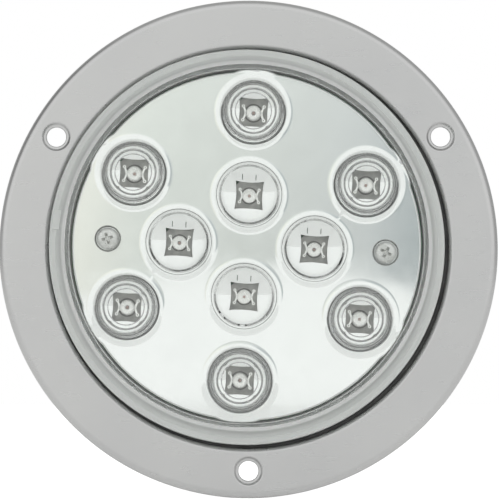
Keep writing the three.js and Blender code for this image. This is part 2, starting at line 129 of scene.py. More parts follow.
PLATE = {
    "radius": 48.5,
    "thickness": 1.5,
    "edge": 0.6,
    "lobe_radius": 12.3,
    "cup_radius": 11.3,
    "cup_floor_radius": 3.6,
    "cup_mouth_radius": 8.6,
    "cup_crest_radius": 9.4,
    "cup_band_height": 0.3,
    "cup_depth": 2.2,
    "window_side": 7.1,
    "window_corner": 7.75,
    "screw_recess_radius": 3.5,
    "screw_recess": 0.8,
}

SLIT = {"across": (-2.1, 1.6), "up": 5.0, "width": 0.2, "length": 1.5}
LED = {
    "side": 7.6,
    "corner_cut": 1.1,
    "body_height": 2.4,
    "dome_radius": 1.9,
    "dome_neck": 0.4,
    "leg_pitch": 5.08,
    "leg_width": 0.9,
    "leg_thickness": 0.5,
}

HOUSING = {
    "radius": 52.6,
    "wall": 2.2,
    "floor": 2.2,
    "rim_radius": 58.45,
    "rim_thickness": 1.2,
    "collar": 2,
    "back_edge": 3,
    "depth": 17,
    "rib_angles": tuple(range(30, 390, 60)),
    "rib_thickness": 1.8,
    "rib_height": 2.4,
    "socket_size": (29.4, 19.4),
    "socket_corner": 5.7,
    "recess_size": (25, 15),
    "recess_corner": 3.5,
    "recess_depth": 11,
    "key_size": (4, 1.4),
}

SCREW = {
    "head_radius": 3.05,
    "head_height": 1.8,
    "head_edge": 0.35,
    "recess": 3.4,
    "blade": 0.8,
    "depth": 1.1,
}
CAMERA = {
    "place": (0.0037, -0.600, -0.0337),  # metres: in front of the lamp and a little below its middle
    "target": (0.00032, -0.006, -0.00067),
    "lens": 153.2,
    "sensor": 36,
}
FLOOR_REACH = 1.5  # metres from the middle of the floor to its edge
FLOOR_GAP = 0.05  # millimetres between the lamp's lowest point and the floor

# ---------------------------------------------------------------- frames and levels from the CAD model


def centre_of(node):
    """The middle of a CAD node, in metres."""
    low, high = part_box(node)
    return (low + high) / 2


def levels(node):
    """The lowest and highest level of a CAD node along the lamp's axis, in millimetres."""
    low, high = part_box(node)
    return -high.y / MM, -low.y / MM


def lamp_frame():
    """The lamp's frame in the CAD model: it sits off the flange's centre, and a little turned."""
    middle = centre_of("lens")
    across = centre_of("led_10") - centre_of("led_08")
    turn = math.atan2(across.z, across.x)
    place = Matrix.Translation((middle.x, 0, middle.z))
    return place @ STAND_UP @ Matrix.Rotation(turn, 4, "Z") @ Matrix.Scale(MM, 4)


STAND_UP = Matrix.Rotation(math.radians(90), 4, "X")
FLANGE_FRAME = STAND_UP @ Matrix.Scale(MM, 4)
LAMP_FRAME = lamp_frame()

LENS_BACK, LENS_FRONT = levels("lens")
LENS_INSIDE = LENS_FRONT - LENS["wall"]
HOUSING_BACK, HOUSING_FRONT = levels("housing")
RIM_TOP = HOUSING_FRONT - HOUSING["collar"]
PLATE_TOP = levels("reflector_plate")[1]
LED_TOP = levels("led_01")[1]
LED_BODY_TOP = LED_TOP - LED["dome_radius"] - LED["dome_neck"]
FLANGE_FRONT = levels("flange_ring")[1]


def in_lamp(node):
    """Where a CAD node's middle is in the lamp's frame, across and up, in millimetres."""
    place = LAMP_FRAME.inverted() @ centre_of(node)
    return place.x, place.y


OUTER_LEDS = [f"led_{number:02d}" for number in range(1, 7)]
INNER_LEDS = [f"led_{number:02d}" for number in range(7, 11)]
SCREWS = ["reflector_screw_left", "reflector_screw_right"]
PINS = ["pin_tail", "pin_ground", "pin_stop"]

# ---------------------------------------------------------------- mesh building


def mesh_of(points, faces, name="shape"):
    mesh = bpy.data.meshes.new(name)
    mesh.from_pydata(points, [], faces)
    mesh.validate()
    return outward(mesh)


def outward(mesh):
    """Turns a closed mesh's faces to point out."""
    work = bmesh.new()
    work.from_mesh(mesh)
    bmesh.ops.recalc_face_normals(work, faces=work.faces)
    work.to_mesh(mesh)
    work.free()
    return mesh


def arc(across, level, radius, start, end, steps=ARC_STEPS):
    """Profile points along an arc about (across, level), from one angle to another in degrees."""
    angles = [math.radians(start + (end - start) * step / steps) for step in range(steps + 1)]
    return [(across + radius * math.cos(a), level + radius * math.sin(a)) for a in angles]


def turned(profile, steps, ring=False, outline=None, centre=(0, 0)):
    """Turns (radius, level) points about the z axis. A profile that isn't a ring gets flat caps.

    outline(angle), if it is given, is added to each radius.
    """
    points = []
    for step in range(steps):
        angle = 2 * math.pi * step / steps
        extra = outline(angle) if outline else 0
        for radius, level in profile:
            reach = radius + extra
            x, y = centre[0] + reach * math.cos(angle), centre[1] + reach * math.sin(angle)
            points.append((x, y, level))
    rows = len(profile)
    spans = [(row, (row + 1) % rows) for row in range(rows if ring else rows - 1)]
    faces = []
    for step in range(steps):
        here = step * rows
        there = (step + 1) % steps * rows
        faces += [(here + a, there + a, there + b, here + b) for a, b in spans]
    if not ring:
        faces.append([step * rows for step in range(steps)])
        faces.append([step * rows + rows - 1 for step in range(steps)])
    return mesh_of(points, faces)


def prism(outline, bottom, top, edge=0.0):
    """Draws a flat outline up between two levels. edge takes that much off its upper rim."""
    rings = [(1, bottom), (1, top)]
    if edge:
        rings = [(1, bottom), (1, top - edge), (0.7, top - edge * 0.3), (0, top)]
    inset = inset_outline(outline, edge) if edge else outline
    points = []
    for share, level in rings:
        for (x, y), (inner_x, inner_y) in zip(outline, inset):
            points.append((inner_x + (x - inner_x) * share, inner_y + (y - inner_y) * share, level))
    count = len(outline)
    faces = [list(range(count)), list(range((len(rings) - 1) * count, len(rings) * count))]
    for ring in range(len(rings) - 1):
        for i in range(count):
            j = (i + 1) % count
            low, high = ring * count, (ring + 1) * count
            faces.append((low + i, low + j, high + j, high + i))
    return mesh_of(points, faces)


def inset_outline(outline, distance):
    """A counter-clockwise outline moved inwards."""
    moved = []
    count = len(outline)
    for i, point in enumerate(outline):
        before, after = Vector(outline[i - 1]), Vector(outline[(i + 1) % count])
        along = (after - before).normalized()
        moved.append((point[0] - along.y * distance, point[1] + along.x * distance))
    return moved


def rounded_rectangle(width, height, radius, centre=(0, 0)):
    corners = [(1, 1, 0), (-1, 1, 90), (-1, -1, 180), (1, -1, 270)]
    outline = []
    for side_x, side_y, start in corners:
        x = centre[0] + side_x * (width / 2 - radius)
        y = centre[1] + side_y * (height / 2 - radius)
        outline += arc(x, y, radius, start, start + 90, 10)
    return outline


def joined(meshes):
    """Several meshes as one, without merging them."""
    work = bmesh.new()
    for mesh in meshes:
        work.from_mesh(mesh)
    made = bpy.data.meshes.new("joined")
    work.to_mesh(made)
    work.free()
    return made


def moved(mesh, x=0.0, y=0.0, z=0.0, degrees=0.0):
    mesh.transform(Matrix.Translation((x, y, z)) @ Matrix.Rotation(math.radians(degrees), 4, "Z"))
    return mesh


def combined(base, tool, operation):
    """base with tool joined to it (UNION) or cut out of it (DIFFERENCE)."""
    body = bpy.data.objects.new("boolean_body", base)
    cutter = bpy.data.objects.new("boolean_tool", tool)
    for item in (body, cutter):
        bpy.context.scene.collection.objects.link(item)
    modifier = body.modifiers.new("boolean", "BOOLEAN")
    modifier.operation = operation
    modifier.solver = "EXACT"
    modifier.object = cutter
    made = bpy.data.meshes.new_from_object(body.evaluated_get(bpy.context.evaluated_depsgraph_get()))
    for item in (body, cutter):
        bpy.data.objects.remove(item)
    return made


def smoothed(mesh, sharp_angle=32):
    mesh.shade_smooth()
    mesh.set_sharp_from_angle(angle=math.radians(sharp_angle))
    return mesh


def paint(mesh, number):
    """Sets the material slot of every face of a mesh."""
    for polygon in mesh.polygons:
        polygon.material_index = number
    return mesh


def piece(name, mesh, matrix, materials, slot, *nodes):
    """A finished piece that stands for its CAD nodes."""
    smoothed(mesh)
    made = bpy.data.objects.new(name, mesh)
    bpy.context.scene.collection.objects.link(made)
    for material in materials:
        mesh.materials.append(material)
    mesh.transform(matrix)
    normals = made.modifiers.new("weighted_normals", "WEIGHTED_NORMAL")
    normals.keep_sharp = True
    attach(made, "root")
    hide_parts(*nodes)
    return made


# ---------------------------------------------------------------- shader building


class Shader:
    """Adds nodes to a shader tree, each with its settings and its inputs."""

    def __init__(self, tree):
        self.tree = tree
        tree.nodes.clear()
        self.place = self.add("TexCoord").outputs["Object"]

    def add(self, kind, inputs=None, **settings):
        node = self.tree.nodes.new("ShaderNode" + kind)
        for name, value in settings.items():
            setattr(node, name, value)
        for name, value in (inputs or {}).items():
            if isinstance(value, bpy.types.NodeSocket):
                self.tree.links.new(value, node.inputs[name])
            else:
                node.inputs[name].default_value = value
        return node

    def noise(self, size, detail=2.0, roughness=0.5, stretch=(1, 1, 1)):
        """Noise whose features are about that many millimetres across."""
        mapped = self.add("Mapping", {"Vector": self.place, "Scale": stretch}).outputs["Vector"]
        inputs = {"Vector": mapped, "Scale": 1 / (size * MM), "Detail": detail, "Roughness": roughness}
        return self.add("TexNoise", inputs).outputs["Fac"]

    def cells(self, size, output="Distance", feature="F1"):
        """Cells about that many millimetres across."""
        inputs = {"Vector": self.place, "Scale": 1 / (size * MM)}
        return self.add("TexVoronoi", inputs, feature=feature).outputs[output]

    def ramp(self, value, stops):
        node = self.add("ValToRGB", {"Fac": value})
        elements = node.color_ramp.elements
        while len(elements) < len(stops):
            elements.new(1)
        for element, (position, colour) in zip(elements, stops):
            element.position = position
            element.color = (*colour, 1)
        return node.outputs["Color"]

    def between(self, value, low, high, start=0.3, end=0.7):
        """value, which runs from start to end, spread from low to high."""
        inputs = {"Value": value, "From Min": start, "From Max": end, "To Min": low, "To Max": high}
        return self.add("MapRange", inputs).outputs["Result"]

    def maths(self, operation, first, second=0.0):
        return self.add("Math", {0: first, 1: second}, operation=operation).outputs["Value"]

    def blended(self, share, first, second):
        """One colour turning into another as share goes from 0 to 1."""
        inputs = {"Factor": share, "A": colour_of(first), "B": colour_of(second)}
        node = self.add("Mix", data_type="RGBA")
        for name, value in inputs.items():
            socket = next(s for s in node.inputs if s.name == name and s.enabled)
            if isinstance(value, bpy.types.NodeSocket):
                self.tree.links.new(value, socket)
            else:
                socket.default_value = value
        return next(s for s in node.outputs if s.enabled)

    def bumped(self, height, depth, strength=1.0):
        """A surface that is depth millimetres deep where height goes from 0 to 1."""
        inputs = {"Height": height, "Distance": depth * MM, "Strength": strength}
        return self.add("Bump", inputs).outputs["Normal"]

    def surface(self, **inputs):
        """The Principled surface, with its inputs named with underscores."""
        named = {name.replace("_", " ").title(): value for name, value in inputs.items()}
        if "Ior" in named:
            named["IOR"] = named.pop("Ior")
        return self.add("BsdfPrincipled", named).outputs["BSDF"]

    def show(self, surface):
        self.add("OutputMaterial", {"Surface": surface})


def colour_of(value):
    return value if isinstance(value, bpy.types.NodeSocket) else (*value, 1)


def material(name, build):
    """A new material whose surface build(shader) returns."""
    made = bpy.data.materials.new(name)
    made.use_nodes = True
    shader = Shader(made.node_tree)
    shader.show(build(shader))
    return made


# ---------------------------------------------------------------- materials


def stainless(shader):
    """Pressed satin sheet: faint clouding, a fine horizontal grain and a few hairline scratches."""
    cloud = shader.noise(30, 3)
    grain = shader.noise(0.9, 2, stretch=(0.12, 1, 1))
    scratches = shader.noise(1.2, 4, 0.7, stretch=(1, 1, 14))
    colour = shader.blended(shader.between(cloud, 0, 1), (0.585, 0.585, 0.585), (0.615, 0.615, 0.61))
    roughness = shader.between(grain, 0.27, 0.32)
    height = shader.maths("ADD", grain, shader.between(scratches, 0, 0.12, 0.6, 0.72))
    normal = shader.bumped(height, 0.0008)
    return shader.surface(base_color=colour, roughness=roughness, metallic=1.0, normal=normal)


def zinc(shader):
    """Bright zinc plate, with its mottled crystals."""
    spangle = shader.cells(2.2, "Color")
    grain = shader.noise(0.5, 3)
    tint = shader.between(spangle, 0, 1, 0, 1)
    colour = shader.blended(tint, (0.60, 0.60, 0.58), (0.74, 0.74, 0.73))
    roughness = shader.between(grain, 0.24, 0.4)
    normal = shader.bumped(grain, 0.01)
    return shader.surface(base_color=colour, roughness=roughness, metallic=1.0, normal=normal)


def rubber(shader):
    """Moulded rubber, greyed by a dusty bloom."""
    bloom = shader.noise(6, 4)
    grain = shader.noise(0.4, 2)
    colour = shader.blended(shader.between(bloom, 0, 1), (0.045, 0.045, 0.045), (0.085, 0.085, 0.083))
    return shader.surface(
        base_color=colour, roughness=shader.between(grain, 0.7, 0.9), normal=shader.bumped(grain, 0.03),
    )


def clear_plastic(shader):
    """Clear moulded plastic. Light that lamps and sky send straight in passes it by as through air."""
    flow = shader.noise(14, 2)
    return moulded_clear(shader, shader.bumped(flow, 0.012), (0.985, 1.0, 0.99, 1), 0.0, 1.0)


def satin_plastic(shader):
    """The lens's skirt, left a little milky by the mould's satin wall and the weld."""
    flow = shader.noise(3, 3)
    return moulded_clear(shader, shader.bumped(flow, 0.02), (0.95, 0.97, 0.955, 1), 0.12, 0.52)


def edge_painted_highlight(shader):
    """The rounded edge of the lens's front, made pale and milky: a painted highlight that stands in for
    the bright ring the edge gives by refraction.
    """
    flow = shader.noise(5, 2)
    return moulded_clear(shader, shader.bumped(flow, 0.01), (1.0, 1.0, 1.0, 1), 0.15, 0.5)


def groove_painted_shade(shader):
    """The bottom of an optic's groove, tinted grey: painted shade that stands in for the dark rings the
    optic gives by refraction.
    """
    flow = shader.noise(0.6, 3)
    return moulded_clear(shader, shader.bumped(flow, 0.01), (0.42, 0.43, 0.42, 1), 0.15, 0.5)


def moulded_clear(shader, normal, tint, roughness, clarity):
    """A see-through plastic that lets direct light through, so that what is inside is lit."""
    glass = shader.surface(
        base_color=tint, roughness=roughness, ior=1.49, transmission_weight=clarity, normal=normal,
    )
    open_air = shader.add("BsdfTransparent", {"Color": (0.96, 0.965, 0.96, 1)}).outputs["BSDF"]
    shadow = shader.add("LightPath").outputs["Is Shadow Ray"]
    return shader.add("MixShader", {0: shadow, 1: glass, 2: open_air}).outputs["Shader"]


def led_epoxy(shader):
    """The clear dome of an LED."""
    flow = shader.noise(0.8, 1)
    return moulded_clear(shader, shader.bumped(flow, 0.01), (0.99, 0.99, 0.985, 1), 0.0, 1.0)


def led_body(shader):
    """The smoky potted body of an LED."""
    cloud = shader.noise(1.6, 3)
    grain = shader.noise(0.12, 2)
    colour = shader.blended(shader.between(cloud, 0, 1), (0.34, 0.34, 0.325), (0.50, 0.495, 0.47))
    return shader.surface(
        base_color=colour, roughness=shader.between(grain, 0.2, 0.35), normal=shader.bumped(grain, 0.006),
    )


def led_painted_shade(shader):
    """Dark, glossy finish for a ring round the dome's foot: painted shade that stands in for the dark ring
    there.
    """
    grain = shader.noise(0.4, 3)
    colour = shader.blended(shader.between(grain, 0, 1), (0.09, 0.09, 0.085), (0.17, 0.168, 0.16))
    return shader.surface(
        base_color=colour, roughness=shader.between(grain, 0.3, 0.5), normal=shader.bumped(grain, 0.01),
    )


def lead_frame(shader):
    """Silver-plated stamping."""
    grain = shader.noise(0.15, 3)
    colour = shader.blended(shader.between(grain, 0, 1), (0.90, 0.895, 0.87), (0.97, 0.965, 0.95))
    return shader.surface(
        base_color=colour, roughness=shader.between(grain, 0.22, 0.4), metallic=1.0,
        normal=shader.bumped(grain, 0.006),
    )


def led_chip(shader):
    """The reddish die in its bonding cup."""
    grain = shader.noise(0.1, 3)
    colour = shader.blended(shader.between(grain, 0, 1), (0.62, 0.42, 0.38), (0.76, 0.58, 0.54))
    return shader.surface(
        base_color=colour, roughness=shader.between(grain, 0.3, 0.5), normal=shader.bumped(grain, 0.01),
    )


def mirror_plating(shader):
    """Vacuum-plated plastic: a mirror with a slow ripple and a little haze."""
    ripple = shader.noise(26, 2)
    haze = shader.noise(7, 4)
    roughness = shader.between(haze, 0.03, 0.07)
    colour = shader.blended(shader.between(haze, 0, 1), (0.90, 0.905, 0.90), (0.93, 0.935, 0.93))
    return shader.surface(
        base_color=colour, roughness=roughness, metallic=1.0, normal=shader.bumped(ripple, 0.02),
    )


def grey_plastic(shader):
    """Moulded housing plastic, spark-eroded to an even matt."""
    texture = shader.noise(0.28, 2)
    flow = shader.noise(18, 3)
    colour = shader.blended(shader.between(flow, 0, 1), (0.36, 0.365, 0.36), (0.42, 0.425, 0.42))
    return shader.surface(
        base_color=colour, roughness=shader.between(texture, 0.42, 0.62),
        normal=shader.bumped(texture, 0.035),
    )


def sealant(shader):
    """A bead of pale glue."""
    lumps = shader.noise(2.5, 3)
    colour = shader.blended(shader.between(lumps, 0, 1), (0.66, 0.66, 0.64), (0.74, 0.74, 0.72))
    return shader.surface(
        base_color=colour, roughness=shader.between(lumps, 0.35, 0.6), normal=shader.bumped(lumps, 0.08),
    )


def board_green(shader):
    """Solder mask over copper tracks."""
    tracks = shader.between(shader.cells(5, "Distance", "DISTANCE_TO_EDGE"), 1, 0, 0.04, 0.06)
    grain = shader.noise(0.3, 2)
    colour = shader.blended(tracks, (0.012, 0.10, 0.035), (0.03, 0.17, 0.06))
    return shader.surface(
        base_color=colour, roughness=shader.between(grain, 0.25, 0.4), normal=shader.bumped(tracks, 0.035),
    )


def potting(shader):
    """Black potting compound, settled with a slight ripple."""
    ripple = shader.noise(4, 2)
    colour = shader.blended(shader.between(ripple, 0, 1), (0.006, 0.006, 0.006), (0.016, 0.016, 0.016))
    return shader.surface(
        base_color=colour, roughness=shader.between(ripple, 0.12, 0.3), normal=shader.bumped(ripple, 0.15),
    )


def resistor_black(shader):
    grain = shader.noise(0.2, 3)
    colour = shader.blended(shader.between(grain, 0, 1), (0.012, 0.012, 0.013), (0.035, 0.035, 0.036))
    return shader.surface(
        base_color=colour, roughness=shader.between(grain, 0.4, 0.6), normal=shader.bumped(grain, 0.015),
    )


def ceramic_blue(shader):
    grain = shader.noise(0.8, 3)
    colour = shader.blended(shader.between(grain, 0, 1), (0.02, 0.07, 0.22), (0.03, 0.10, 0.30))
    return shader.surface(
        base_color=colour, roughness=shader.between(grain, 0.25, 0.4), normal=shader.bumped(grain, 0.05),
    )


def can_aluminium(shader):
    drawn = shader.noise(0.5, 3, stretch=(1, 0.1, 1))
    colour = shader.blended(shader.between(drawn, 0, 1), (0.66, 0.67, 0.68), (0.80, 0.81, 0.82))
    return shader.surface(
        base_color=colour, roughness=shader.between(drawn, 0.25, 0.4), metallic=1.0,
        normal=shader.bumped(drawn, 0.01),
    )


def brass(shader):
    """Turned brass with a little tarnish."""
    tarnish = shader.noise(2, 4)
    turning = shader.noise(0.15, 2, stretch=(0.1, 1, 0.1))
    colour = shader.blended(shader.between(tarnish, 0, 1), (0.52, 0.36, 0.14), (0.74, 0.56, 0.27))
    return shader.surface(
        base_color=colour, roughness=shader.between(tarnish, 0.38, 0.2), metallic=1.0,
        normal=shader.bumped(turning, 0.008),
    )


MATERIALS = {
    build.__name__: material(build.__name__, build)
    for build in (
        stainless, zinc, rubber, clear_plastic, satin_plastic, edge_painted_highlight, groove_painted_shade,
        led_epoxy, led_body, led_painted_shade, lead_frame, led_chip, mirror_plating, grey_plastic,
        sealant, board_green, potting, resistor_black, ceramic_blue, can_aluminium, brass,
    )
}

# ---------------------------------------------------------------- flange


def flange_profile():
    """The pressed sheet's section, up the outside, over the face and back along its inside."""
    sheet, lip_bend, rim_bend = FLANGE["sheet"], FLANGE["lip_bend"], FLANGE["rim_bend"]
    rim = (FLANGE["radius"] - rim_bend, FLANGE_FRONT - rim_bend)
    lip = (FLANGE["opening"] + lip_bend, FLANGE_FRONT - lip_bend)
    lip_foot = FLANGE_FRONT - FLANGE["lip_depth"]
    return [
        (FLANGE["radius"], 0),
        *arc(*rim, rim_bend, 0, 90, 12),
        *arc(*lip, lip_bend, 90, 180),
        (FLANGE["opening"], lip_foot),
        (FLANGE["opening"] + sheet, lip_foot),
        *arc(*lip, lip_bend - sheet, 180, 90, 3),
        *arc(*rim, rim_bend - sheet, 90, 0, 3),
        (FLANGE["radius"] - sheet, 0),
    ]


def dish_profile():
    """The pressed dish round a screw hole: level at its edge, and again where the screw sits."""
    land, rim = FLANGE["land_radius"], FLANGE["dish_radius"]
    steps = 12
    slope = []
    for step in range(steps + 1):
        share = step / steps
        fall = FLANGE["dish_depth"] * (0.5 - 0.5 * math.cos(math.pi * share))
        slope.append((rim - (rim - land) * share, FLANGE_FRONT - fall))
    floor = FLANGE_FRONT - FLANGE["dish_depth"]
    edge = 0.15
    hole = FLANGE["hole_radius"]
    top = [*slope, (hole + edge, floor), (hole, floor - edge)]
    underside = [(radius, level - FLANGE["sheet"]) for radius, level in reversed(slope)]
    return [*top, (hole, floor - FLANGE["sheet"]), *underside]


def clip(angle):
    """A bent tab behind the flange that holds the lamp's rim."""
    half = FLANGE["clip_width"] / 2
    inner, sheet = FLANGE["clip_face"], FLANGE["sheet"]
    top = FLANGE_FRONT - sheet
    bend = sheet + 0.5
    section = [
        (inner + sheet, top),
        (inner, top),
        (inner, bend),
        *arc(inner - 0.5, bend, 0.5, 0, -90, 4),
        (inner - FLANGE["clip_reach"], sheet),
        (inner - FLANGE["clip_reach"], 0),
        *arc(inner - 0.5, bend, bend, -90, 0, 6),
    ]
    points = [(x, side * half, z) for side in (-1, 1) for x, z in section]
    count = len(section)
    sides = [list(range(count)), list(range(count, 2 * count))]
    faces = [(i, (i + 1) % count, (i + 1) % count + count, i + count) for i in range(count)]
    return moved(mesh_of(points, faces + sides), degrees=angle)


def make_flange():
    ring = turned(flange_profile(), FINE_STEPS, ring=True)
    parts = []
    for angle in FLANGE["hole_angles"]:
        x = FLANGE["hole_circle"] * math.cos(math.radians(angle))
        y = FLANGE["hole_circle"] * math.sin(math.radians(angle))
        reach = [(FLANGE["dish_radius"], FLANGE_FRONT - 2), (FLANGE["dish_radius"], FLANGE_FRONT + 1)]
        ring = combined(ring, turned(reach, CUP_STEPS, centre=(x, y)), "DIFFERENCE")
        parts.append(turned(dish_profile(), CUP_STEPS, ring=True, centre=(x, y)))
    clips = [clip(angle) for angle in FLANGE["clip_angles"]]
    mesh = joined([ring, *parts, *clips])
    piece("flange_detail", mesh, FLANGE_FRAME, [MATERIALS["stainless"]], "stainless", "flange_ring")


def make_flat_ring(name, node, inner, outer, edge, finish, slot):
    """A flat ring with rounded edges, in place of a CAD node of the same size."""
    bottom, top = levels(node)
    profile = [
        *arc(outer - edge, bottom + edge, edge, -90, 0, 4),
        *arc(outer - edge, top - edge, edge, 0, 90, 4),
        *arc(inner + edge, top - edge, edge, 90, 180, 4),
        *arc(inner + edge, bottom + edge, edge, 180, 270, 4),
    ]
    mesh = turned(profile, FINE_STEPS, ring=True)
    piece(name, mesh, LAMP_FRAME, [MATERIALS[finish]], slot, node)


# ---------------------------------------------------------------- lens


def lens_shell():
    """The lens from the middle of its inside, round its skirt and up to the middle of its front."""
    wall, skirt = LENS["wall"], LENS["skirt_radius"]
    ledge = LENS_BACK + LENS["ledge_height"]
    edge = LENS["front_edge"]
    front_centre = LENS["front_radius"] - edge
    inner = LENS["inner_edge"]
    inner_corner = LENS["front_radius"] - wall
    profile = [
        *arc(inner_corner - inner, LENS_INSIDE - inner, inner, 90, 15),
        (LENS["wall_radius"] - wall, ledge),
        (skirt - wall, ledge - wall),
        (skirt - wall, LENS_BACK),
        (skirt - 0.2, LENS_BACK),
        (skirt, LENS_BACK + 0.2),
        *arc(skirt - LENS["ledge_edge"], ledge - LENS["ledge_edge"], LENS["ledge_edge"], 0, 90),
        (LENS["wall_radius"] + 0.3, ledge),
        (LENS["wall_radius"], ledge + 0.3),
        *arc(front_centre, LENS_FRONT - edge, edge, 15, 90, 16),
    ]
    return turned(profile, FINE_STEPS)


def bead_profile(start, end, level, sag, steps=10):
    """Profile points from one radius to another, over a bead that stands out most in its middle."""
    shares = [step / steps for step in range(1, steps + 1)]
    return [(start + (end - start) * share, level + sag * (2 * share - 1) ** 2) for share in shares]


def grooved_optic(centre):
    """A ringed optic on the back of the lens: a bulging disc, two round beads and a slanted shoulder."""
    deep = LENS_INSIDE - GROOVED_OPTIC["depth"]
    disc, sag = GROOVED_OPTIC["centre_radius"], GROOVED_OPTIC["centre_sag"]
    steps = 10
    profile = [(disc * s / steps, deep + sag * (s / steps) ** 2) for s in range(1, steps + 1)]
    start = disc
    for end in GROOVED_OPTIC["bead_radii"]:
        profile += bead_profile(start, end, deep, GROOVED_OPTIC["bead_sag"])
        start = end
    profile += [
        (GROOVED_OPTIC["shoulder_radius"], deep + 0.1),
        (GROOVED_OPTIC["radius"], LENS_INSIDE),
        (GROOVED_OPTIC["radius"], LENS_INSIDE + 0.5),
    ]
    return turned(profile, CUP_STEPS, centre=centre)


def domed_optic(centre):
    """A bulging optic on the back of the lens, with a slanted shoulder, on a low step."""
    deep = LENS_INSIDE - DOMED_OPTIC["depth"]
    shoulder, sag, steps = DOMED_OPTIC["shoulder_radius"], DOMED_OPTIC["sag"], 16
    profile = [(shoulder * s / steps, deep + sag * (s / steps) ** 2) for s in range(1, steps + 1)]
    step_level = LENS_INSIDE - DOMED_OPTIC["step_depth"]
    profile += [
        (DOMED_OPTIC["radius"], step_level),
        (DOMED_OPTIC["step_radius"], step_level),
        (DOMED_OPTIC["step_radius"] + 0.12, LENS_INSIDE),
        (DOMED_OPTIC["step_radius"] + 0.12, LENS_INSIDE + 0.5),
    ]
    return turned(profile, CUP_STEPS, centre=centre)


def lens_key():
    """The block on the ledge that shows which way round the lamp goes."""
    ledge = LENS_BACK + LENS["ledge_height"]
    inside = LENS["wall_radius"] - 1
    outside = LENS["wall_radius"] + LENS["key_reach"]
    size = (outside - inside, LENS["key_width"])
    outline = rounded_rectangle(*size, 0.35, ((inside + outside) / 2, 0))
    return moved(prism(outline, ledge - 0.5, ledge + LENS["key_height"], 0.2), degrees=LENS["key_angle"])


# The third finish is a painted highlight on the front's rounded edge; the fourth is painted shade in the
# optics' grooves.
LENS_FINISHES = ("clear_plastic", "satin_plastic", "edge_painted_highlight", "groove_painted_shade")


def lens_finish(place, optics):
    """Which of LENS_FINISHES a face of the lens has, by its place."""
    reach, high = math.hypot(place.x, place.y), place.z >= LENS_FRONT - LENS["front_edge"]
    if reach > LENS["painted_highlight_band"][1] and (high or reach > LENS["front_radius"]):
        return 1
    # The front's rounded edge, past the band's inner radius, gets the painted highlight.
    if reach > LENS["painted_highlight_band"][0] and high:
        return 2
    # Faces at the groove bottoms get the grey painted shade.
    if place.z < LENS_INSIDE - 0.3 and any(in_groove(place, centre) for centre in optics):
        return 3
    return 0


def in_groove(place, centre):
    """Whether a face of the lens is at the bottom of a groove of the optic at centre, where the painted
    shade goes.
    """
    off = math.hypot(place.x - centre[0], place.y - centre[1])
    grooves = (GROOVED_OPTIC["centre_radius"], *GROOVED_OPTIC["bead_radii"])
    return any(abs(off - groove) < GROOVED_OPTIC["groove_half_width"] for groove in grooves)


def make_lens():
    grooved = [in_lamp(node) for node in OUTER_LEDS]
    optics = [grooved_optic(centre) for centre in grooved]
    optics += [domed_optic(in_lamp(node)) for node in INNER_LEDS]
    mesh = combined(lens_shell(), joined([*optics, lens_key()]), "UNION")
    for polygon in mesh.polygons:
        polygon.material_index = lens_finish(polygon.center, grooved)
    finishes = [MATERIALS[name] for name in LENS_FINISHES]
    piece("lens_detail", mesh, LAMP_FRAME, finishes, "clear_plastic", "lens")


# ---------------------------------------------------------------- reflector


def plate_outline(angle):
    """How far the plate's edge is from its centre, with a lobe round each outer LED."""
    reach = PLATE["radius"]
    for node in OUTER_LEDS:
        x, y = in_lamp(node)
        out = math.hypot(x, y)
        off = angle - math.atan2(y, x)
        across = PLATE["lobe_radius"] ** 2 - (out * math.sin(off)) ** 2
        if across > 0 and math.cos(off) > 0:
            reach = max(reach, out * math.cos(off) + math.sqrt(across))
    return reach


def plate_blank():
    edge = PLATE["edge"]
    bottom = PLATE_TOP - PLATE["thickness"]
    profile = [(-edge, bottom), (0, bottom + edge), *arc(-edge, PLATE_TOP - edge, edge, 0, 90, 6)]
    return turned(profile, FINE_STEPS * 2, outline=plate_outline)


def cup_level(radius):
    """The level of the cup's curved inside at a radius: a parabola from its floor up to its mouth."""
    low, high = PLATE["cup_floor_radius"], PLATE["cup_mouth_radius"]
    share = (radius ** 2 - low ** 2) / (high ** 2 - low ** 2)
    return PLATE_TOP - PLATE["cup_depth"] * (1 - share)


def cup_hollow(centre):
    """The inside of a cup: its curved wall, straight up past its mouth."""
    low, high = PLATE["cup_floor_radius"] - 1.6, PLATE["cup_mouth_radius"]
    steps = 20
    wall = [low + (high - low) * step / steps for step in range(steps + 1)]
    profile = [(radius, cup_level(radius)) for radius in wall]
    profile.append((high, PLATE_TOP + 1))
    return turned(profile, CUP_STEPS, centre=centre)


def cup_band(centre):
    """The crowned band round a cup's mouth, which falls away gently to the plate."""
    crest, top = PLATE["cup_crest_radius"], PLATE_TOP + PLATE["cup_band_height"]
    profile = [
        (0.5, PLATE_TOP + 0.01),
        (PLATE["cup_mouth_radius"], PLATE_TOP + 0.03),
        (crest - 0.15, top - 0.02),
        (crest + 0.15, top - 0.01),
        (PLATE["cup_radius"], PLATE_TOP - 0.02),
        (PLATE["cup_radius"], PLATE_TOP - 0.4),
    ]
    return turned(profile, CUP_STEPS, centre=centre)


def cup_outside(centre):
    bottom = LED_BODY_TOP + 0.3
    profile = [(PLATE["cup_floor_radius"] + 2.6, bottom), (PLATE["cup_radius"], PLATE_TOP - 1.2)]
    return turned(profile, CUP_STEPS, centre=centre)


def window(centre):
    """The square opening over an LED, its sides drawn in between its corners."""
    side, corner = PLATE["window_side"] / 2, PLATE["window_corner"] / 2
    steps = 12
    outline = []
    for turn in range(4):
        across = Matrix.Rotation(math.radians(90 * turn), 2)
        for step in range(steps):
            share = 2 * step / steps - 1
            reach = side + (corner - side) * share ** 2
            outline.append(tuple(across @ Vector((reach, corner * share))))
    return moved(prism(outline, LED_BODY_TOP - 1, PLATE_TOP), *centre)


